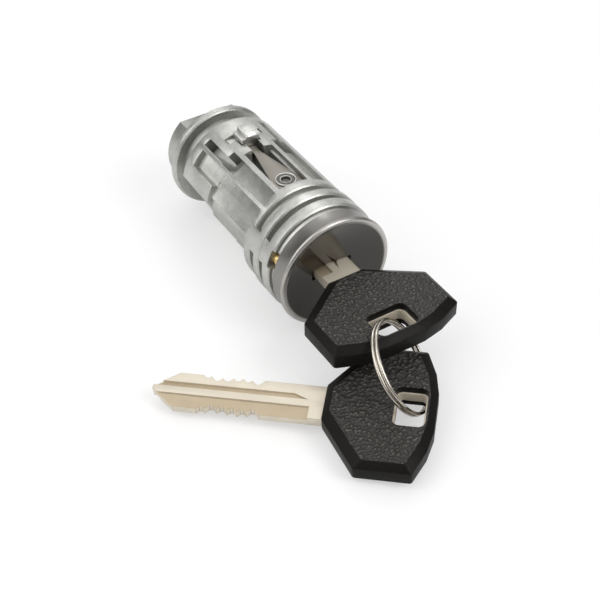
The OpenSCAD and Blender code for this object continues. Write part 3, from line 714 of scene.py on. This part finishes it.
class LOCK_OT_inner_parts(bpy.types.Operator):
    """Finish the plug, the wafers, the springs and the small fittings"""

    bl_idname = "lock.inner_parts"
    bl_label = "Inner parts"

    def leaf_strip(self, material, sizes):
        """The leaf spring, cut across in narrow bands between the eyelet and the retaining tab"""
        strip = rounded_copy("leaf_spring", "leaf_strip", sizes.blade_edge, 2, material)
        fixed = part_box("leaf_rivet")[1].y + sizes.leaf_margin
        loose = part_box("retaining_tab")[0].y
        only(strip)
        bpy.ops.object.mode_set(mode="EDIT")
        for step in range(LEAF_BANDS + 1):
            cut = fixed + (loose - fixed) * step / LEAF_BANDS
            bpy.ops.mesh.select_all(action="SELECT")
            bpy.ops.mesh.bisect(plane_co=(0, cut, 0), plane_no=(0, 1, 0))
        bpy.ops.object.mode_set(mode="OBJECT")
        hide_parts("leaf_spring")
        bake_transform(strip)

    def detent_coil(self, material):
        """The plunger's spring, smoothed, with a mesh of its own"""
        coil = copy_of("detent_spring", "detent_coil")
        bpy.ops.object.shade_smooth_by_angle(angle=math.radians(50))
        coat(coil, material)
        settle(coil, "detent_spring")
        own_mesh(coil)

    def eyelet(self, flange_shade_finish, edge_finish, lip):
        """The leaf spring's eyelet rivet: a flat flange with a rolled edge round a shallow cup"""
        low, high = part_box("leaf_rivet")
        middle = (low.y + high.y) / 2
        flange, hole = (high.x - low.x) / 2, (high.x - low.x) * 0.23
        seat = high.z - 3.25 * lip
        profile = [(hole * 1.2, low.z), (hole * 1.2, seat), (flange - lip, seat)]
        for step in range(7):
            angle = math.radians(-60 + 35 * step)
            profile.append((flange - lip + lip * math.cos(angle), seat + lip + lip * math.sin(angle)))
        flat = seat + lip * 1.2
        profile += [(flange - 2.3 * lip, flat), (hole + 1.6 * lip, flat),
                    (hole + 0.9 * lip, flat + 0.4 * lip), (hole + 0.3 * lip, flat + 0.3 * lip),
                    (hole, flat - 0.6 * lip), (hole, seat - 1.3 * lip), (hole * 0.5, seat - 0.9 * lip),
                    (0.0, seat - 0.7 * lip)]
        piece = turned("eyelet", profile, EYELET_SEGMENTS)
        piece.rotation_euler = (math.pi / 2, 0, 0)
        piece.location = (0, middle, 0)
        bpy.ops.object.transform_apply(location=True, rotation=True, scale=True)
        bpy.ops.object.shade_smooth_by_angle(angle=math.radians(40))
        coat(piece, flange_shade_finish, edge_finish)

        def on_edge(face):
            radius = math.hypot(face.center.x, face.center.y - middle)
            return radius > flange - 1.9 * lip or hole < radius < hole + 1.2 * lip

        # The rolled edge and the hole's lip keep the plain steel; the flange takes the steel with painted
        # shade
        coat_faces(piece, 1, on_edge)
        settle(piece, "leaf_rivet")

    def execute(self, context):
        sizes, colours = context.scene.lock_sizes, context.scene.lock_colours
        steel = brushed_finish("Plated steel", colours.steel, 0.36)
        leaf = brushed_finish("Spring steel", colours.leaf, 0.46, math.pi / 2, 0.3)
        brass = brushed_finish("Brass", colours.brass, 0.28)
        plug = zinc_finish("Plug zinc", shade(colours.zinc, 0.9), 0.40)
        # The eyelet's flange: the same steel at a quarter of its colour, painted shade
        dull_and_shaded = brushed_finish("Dull steel", shade(colours.steel, 0.25), 0.5)
        settle(rounded_copy("detent_plunger", "plunger_pin", sizes.blade_edge, 2, brass), "detent_plunger")
        self.leaf_strip(leaf, sizes)
        self.detent_coil(steel)
        self.eyelet(dull_and_shaded, steel, sizes.eyelet_lip)
        for name, item in frame["nodes"].items():
            if name == "plug":
                material = plug
            elif name.startswith("wafer_spring") or name == "cross_pin":
                material = steel
            elif name.startswith("wafer"):
                material = brass
            else:
                continue
            coat(item, material)
        return {"FINISHED"}


class LOCK_OT_stage(bpy.types.Operator):
    """Set the table, the lamps and the camera"""

    bl_idname = "lock.stage"
    bl_label = "Stage"

    def seen(self, tree, straight):
        """How white the background is made: seen straight, and in metal and glass"""
        path = node(tree, "ShaderNodeLightPath")
        glossy, through = path.outputs["Is Glossy Ray"], path.outputs["Is Transmission Ray"]
        both = math_node(tree, "ADD", glossy, through, True)
        return math_node(tree, "ADD", math_node(tree, "MULTIPLY", path.outputs["Is Camera Ray"], straight),
                         math_node(tree, "MULTIPLY", both, MIRRORED_GLOW))

    def table(self, colour):
        """A wide matt table, whitened where it is seen straight"""
        deselect()
        bpy.ops.mesh.primitive_grid_add(x_subdivisions=8, y_subdivisions=8, size=TABLE_WIDTH,
                                        location=(0, 0, FLOOR_Z))
        floor = bpy.context.object
        floor.name = "table_top"
        material, tree, surface, _ = blank("Table")
        surface.inputs["Base Color"].default_value = (*colour, 1.0)
        surface.inputs["Roughness"].default_value = 0.9
        surface.inputs["Specular IOR Level"].default_value = 0.1
        glow = node(tree, "ShaderNodeEmission", [("Color", (1, 1, 1, 1)), ("Strength", 1.0)])
        mix = node(tree, "ShaderNodeMixShader", [(0, self.seen(tree, TABLE_GLOW)), (1, surface.outputs[0]),
                                                 (2, glow.outputs[0])])
        tree.links.new(mix.outputs[0], tree.nodes["Material Output"].inputs["Surface"])
        floor.data.materials.append(material)

    def lamp(self, name, place, width, power):
        """A square lamp that points at the lock"""
        deselect()
        bpy.ops.object.light_add(type="AREA", location=place)
        lamp = bpy.context.object
        lamp.name = name
        lamp.rotation_euler = (-Vector(place)).to_track_quat("-Z", "Y").to_euler()
        lamp.data.shape = "SQUARE"
        lamp.data.size = width
        lamp.data.energy = power

    def world(self, scene):
        """A grey room, lighter above, which is white where it is seen straight"""
        world = bpy.data.worlds.new("Studio")
        scene.world = world
        world.use_nodes = True
        sky = world.node_tree
        facing = node(sky, "ShaderNodeTexCoord")
        parts = node(sky, "ShaderNodeSeparateXYZ", [(0, facing.outputs["Generated"])])
        high = band(sky, parts.outputs[2], -0.1, 0.9)
        tone = ramp(sky, high, (0.07, 0.07, 0.07), (0.30, 0.30, 0.30))
        white = ramp(sky, self.seen(sky, WORLD_GLOW), tone, (1, 1, 1))
        sky.links.new(white, sky.nodes["Background"].inputs["Color"])

    def camera(self, scene, stage):
        """The camera, placed by its turn round the target, its height and its roll"""
        azimuth, elevation = stage.azimuth, stage.elevation
        behind = Vector((math.sin(azimuth) * math.cos(elevation), -math.cos(azimuth) * math.cos(elevation),
                         math.sin(elevation)))
        right = Vector((0, 0, 1)).cross(behind).normalized()
        up = behind.cross(right)
        turn = Matrix((right, up, behind)).transposed().to_4x4() @ Matrix.Rotation(stage.roll, 4, "Z")
        deselect()
        bpy.ops.object.camera_add()
        camera = bpy.context.object
        camera.matrix_world = Matrix.Translation(Vector(stage.target) + behind * stage.distance) @ turn
        camera.data.sensor_fit = "HORIZONTAL"
        camera.data.angle = stage.view_angle
        camera.data.clip_start = 0.005
        camera.data.clip_end = 20.0
        scene.camera = camera

    def execute(self, context):
        scene, stage = context.scene, context.scene.lock_stage
        self.table(scene.lock_colours.floor)
        for name, place, width, power in LAMPS:
            self.lamp(name, place, width, getattr(stage, power))
        self.world(scene)
        scene.view_settings.view_transform = "Standard"
        self.camera(scene, stage)
        return {"FINISHED"}


class LOCK_PT_sidebar(bpy.types.Panel):
    """The lock's settings and steps"""

    bl_label = "Lock"
    bl_idname = "LOCK_PT_sidebar"
    bl_space_type = "VIEW_3D"
    bl_region_type = "UI"
    bl_category = "Lock"

    def draw(self, context):
        layout, scene = self.layout, context.scene
        for group_name in ("lock_sizes", "lock_colours", "lock_stage"):
            box = layout.box()
            settings = getattr(scene, group_name)
            for key in settings.bl_rna.properties.keys():
                if key not in ("rna_type", "name"):
                    box.prop(settings, key)
        for operator in STEPS:
            layout.operator(operator.bl_idname)


STEPS = (LOCK_OT_stage, LOCK_OT_castings, LOCK_OT_face_cap, LOCK_OT_keys, LOCK_OT_split_ring,
         LOCK_OT_inner_parts)
CLASSES = (LockSizes, LockColours, LockStage, *STEPS, LOCK_PT_sidebar)


def register():
    """Adds the classes, and the settings to the scene"""
    for item in CLASSES:
        bpy.utils.register_class(item)
    bpy.types.Scene.lock_sizes = bpy.props.PointerProperty(type=LockSizes)
    bpy.types.Scene.lock_colours = bpy.props.PointerProperty(type=LockColours)
    bpy.types.Scene.lock_stage = bpy.props.PointerProperty(type=LockStage)


def unregister():
    """Removes the settings and the classes"""
    del bpy.types.Scene.lock_stage
    del bpy.types.Scene.lock_colours
    del bpy.types.Scene.lock_sizes
    for item in reversed(CLASSES):
        bpy.utils.unregister_class(item)


def main():
    """Dresses the lock step by step"""
    register()
    bpy.ops.lock.stage()
    bpy.ops.lock.castings()
    bpy.ops.lock.face_cap()
    bpy.ops.lock.keys()
    bpy.ops.lock.split_ring()
    bpy.ops.lock.inner_parts()


if __name__ == "__main__":
    main()
